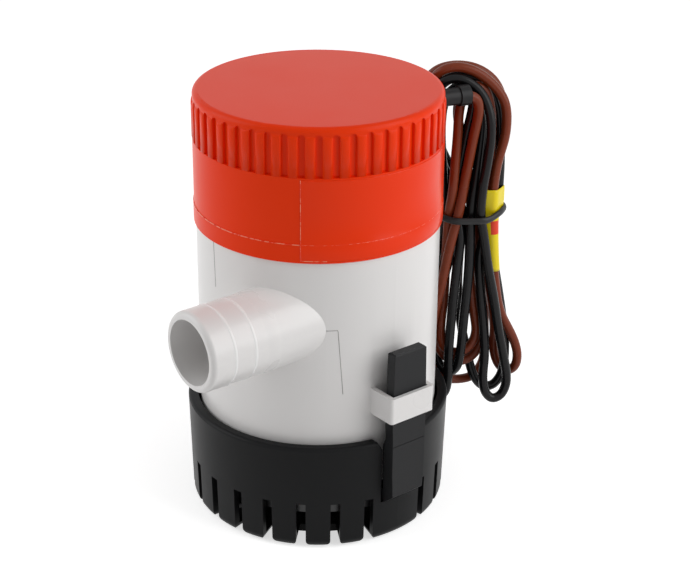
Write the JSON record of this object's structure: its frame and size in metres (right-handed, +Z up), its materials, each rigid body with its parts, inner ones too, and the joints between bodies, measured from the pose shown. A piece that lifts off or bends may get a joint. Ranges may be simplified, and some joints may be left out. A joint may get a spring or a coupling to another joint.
{
  "type": "submersible bilge pump",
  "caption": "Cylindrical submersible bilge pump with a clip-on slotted strainer base, side hose spigot, ribbed sealed motor cap and tied wire leads.",
  "frame": {"origin": "centre of the strainer base's underside, on the motor's axis", "axes": "+Z up along the motor's axis; -Y along the hose spigot, towards its mouth; the two latch tabs stand at +X and -X"},
  "size_m": [0.0742, 0.1066, 0.1085],
  "materials": {
    "black_plastic": "moulded, satin",
    "white_plastic": "moulded, glossy",
    "red_plastic": "moulded, glossy",
    "black_rubber": "soft",
    "steel": "turned",
    "zinc_steel": "zinc plated",
    "ferrite": "ground",
    "core_steel": "laminated",
    "copper": "enamelled wire",
    "brass": "stamped",
    "bronze": "sintered",
    "carbon": "pressed carbon",
    "brown_pvc": "satin insulation",
    "black_pvc": "satin insulation",
    "yellow_label": "printed film"
  },
  "bodies": {
    "strainer": {"strainer_base": "black_plastic"},
    "tab_right": {"latch_tab_right": "black_plastic"},
    "tab_left": {"latch_tab_left": "black_plastic"},
    "pump": {"pump_housing": "white_plastic", "inlet_plate": "black_plastic", "plate_screws": "steel", "motor_cup": "white_plastic", "shaft_seal": "black_rubber", "seal_retainer": "brass", "motor_can": "zinc_steel", "lower_bush": "bronze", "upper_bush": "bronze", "magnets": "ferrite", "brushes": "carbon", "brush_holders": "brass", "brush_springs": "steel", "end_bell": "black_plastic", "terminals": "brass", "flange_gasket": "black_rubber", "cap_oring": "black_rubber", "motor_cap": "red_plastic", "wire_gland": "black_rubber", "inner_lead_brown": "brown_pvc", "inner_lead_black": "black_pvc", "brown_lead": "brown_pvc", "black_lead": "black_pvc", "wire_hank": "black_pvc", "twist_tie": "black_rubber", "wire_tag": "yellow_label"},
    "rotor": {"rotor_shaft": "steel", "impeller": "black_plastic", "armature_core": "core_steel", "windings": "copper", "commutator": "copper"}
  },
  "joints": [
    {"name": "pump_lift", "type": "slide", "parent": "strainer", "child": "pump", "axis": [0, 0, 1], "range_m": [0, 0.045]},
    {"name": "tab_right_squeeze", "type": "hinge", "parent": "strainer", "child": "tab_right", "pos_m": [0.0318, 0, 0.0112], "axis": [0, -1, 0], "range_deg": [0, 3], "stiffness_Nm_per_rad": 4},
    {"name": "tab_left_squeeze", "type": "hinge", "parent": "strainer", "child": "tab_left", "pos_m": [-0.0318, 0, 0.0112], "axis": [0, 1, 0], "range_deg": [0, 3], "stiffness_Nm_per_rad": 4},
    {"name": "rotor_spin", "type": "hinge", "parent": "pump", "child": "rotor", "pos_m": [0, 0, 0.05], "axis": [0, 0, 1], "continuous": true}
  ]
}
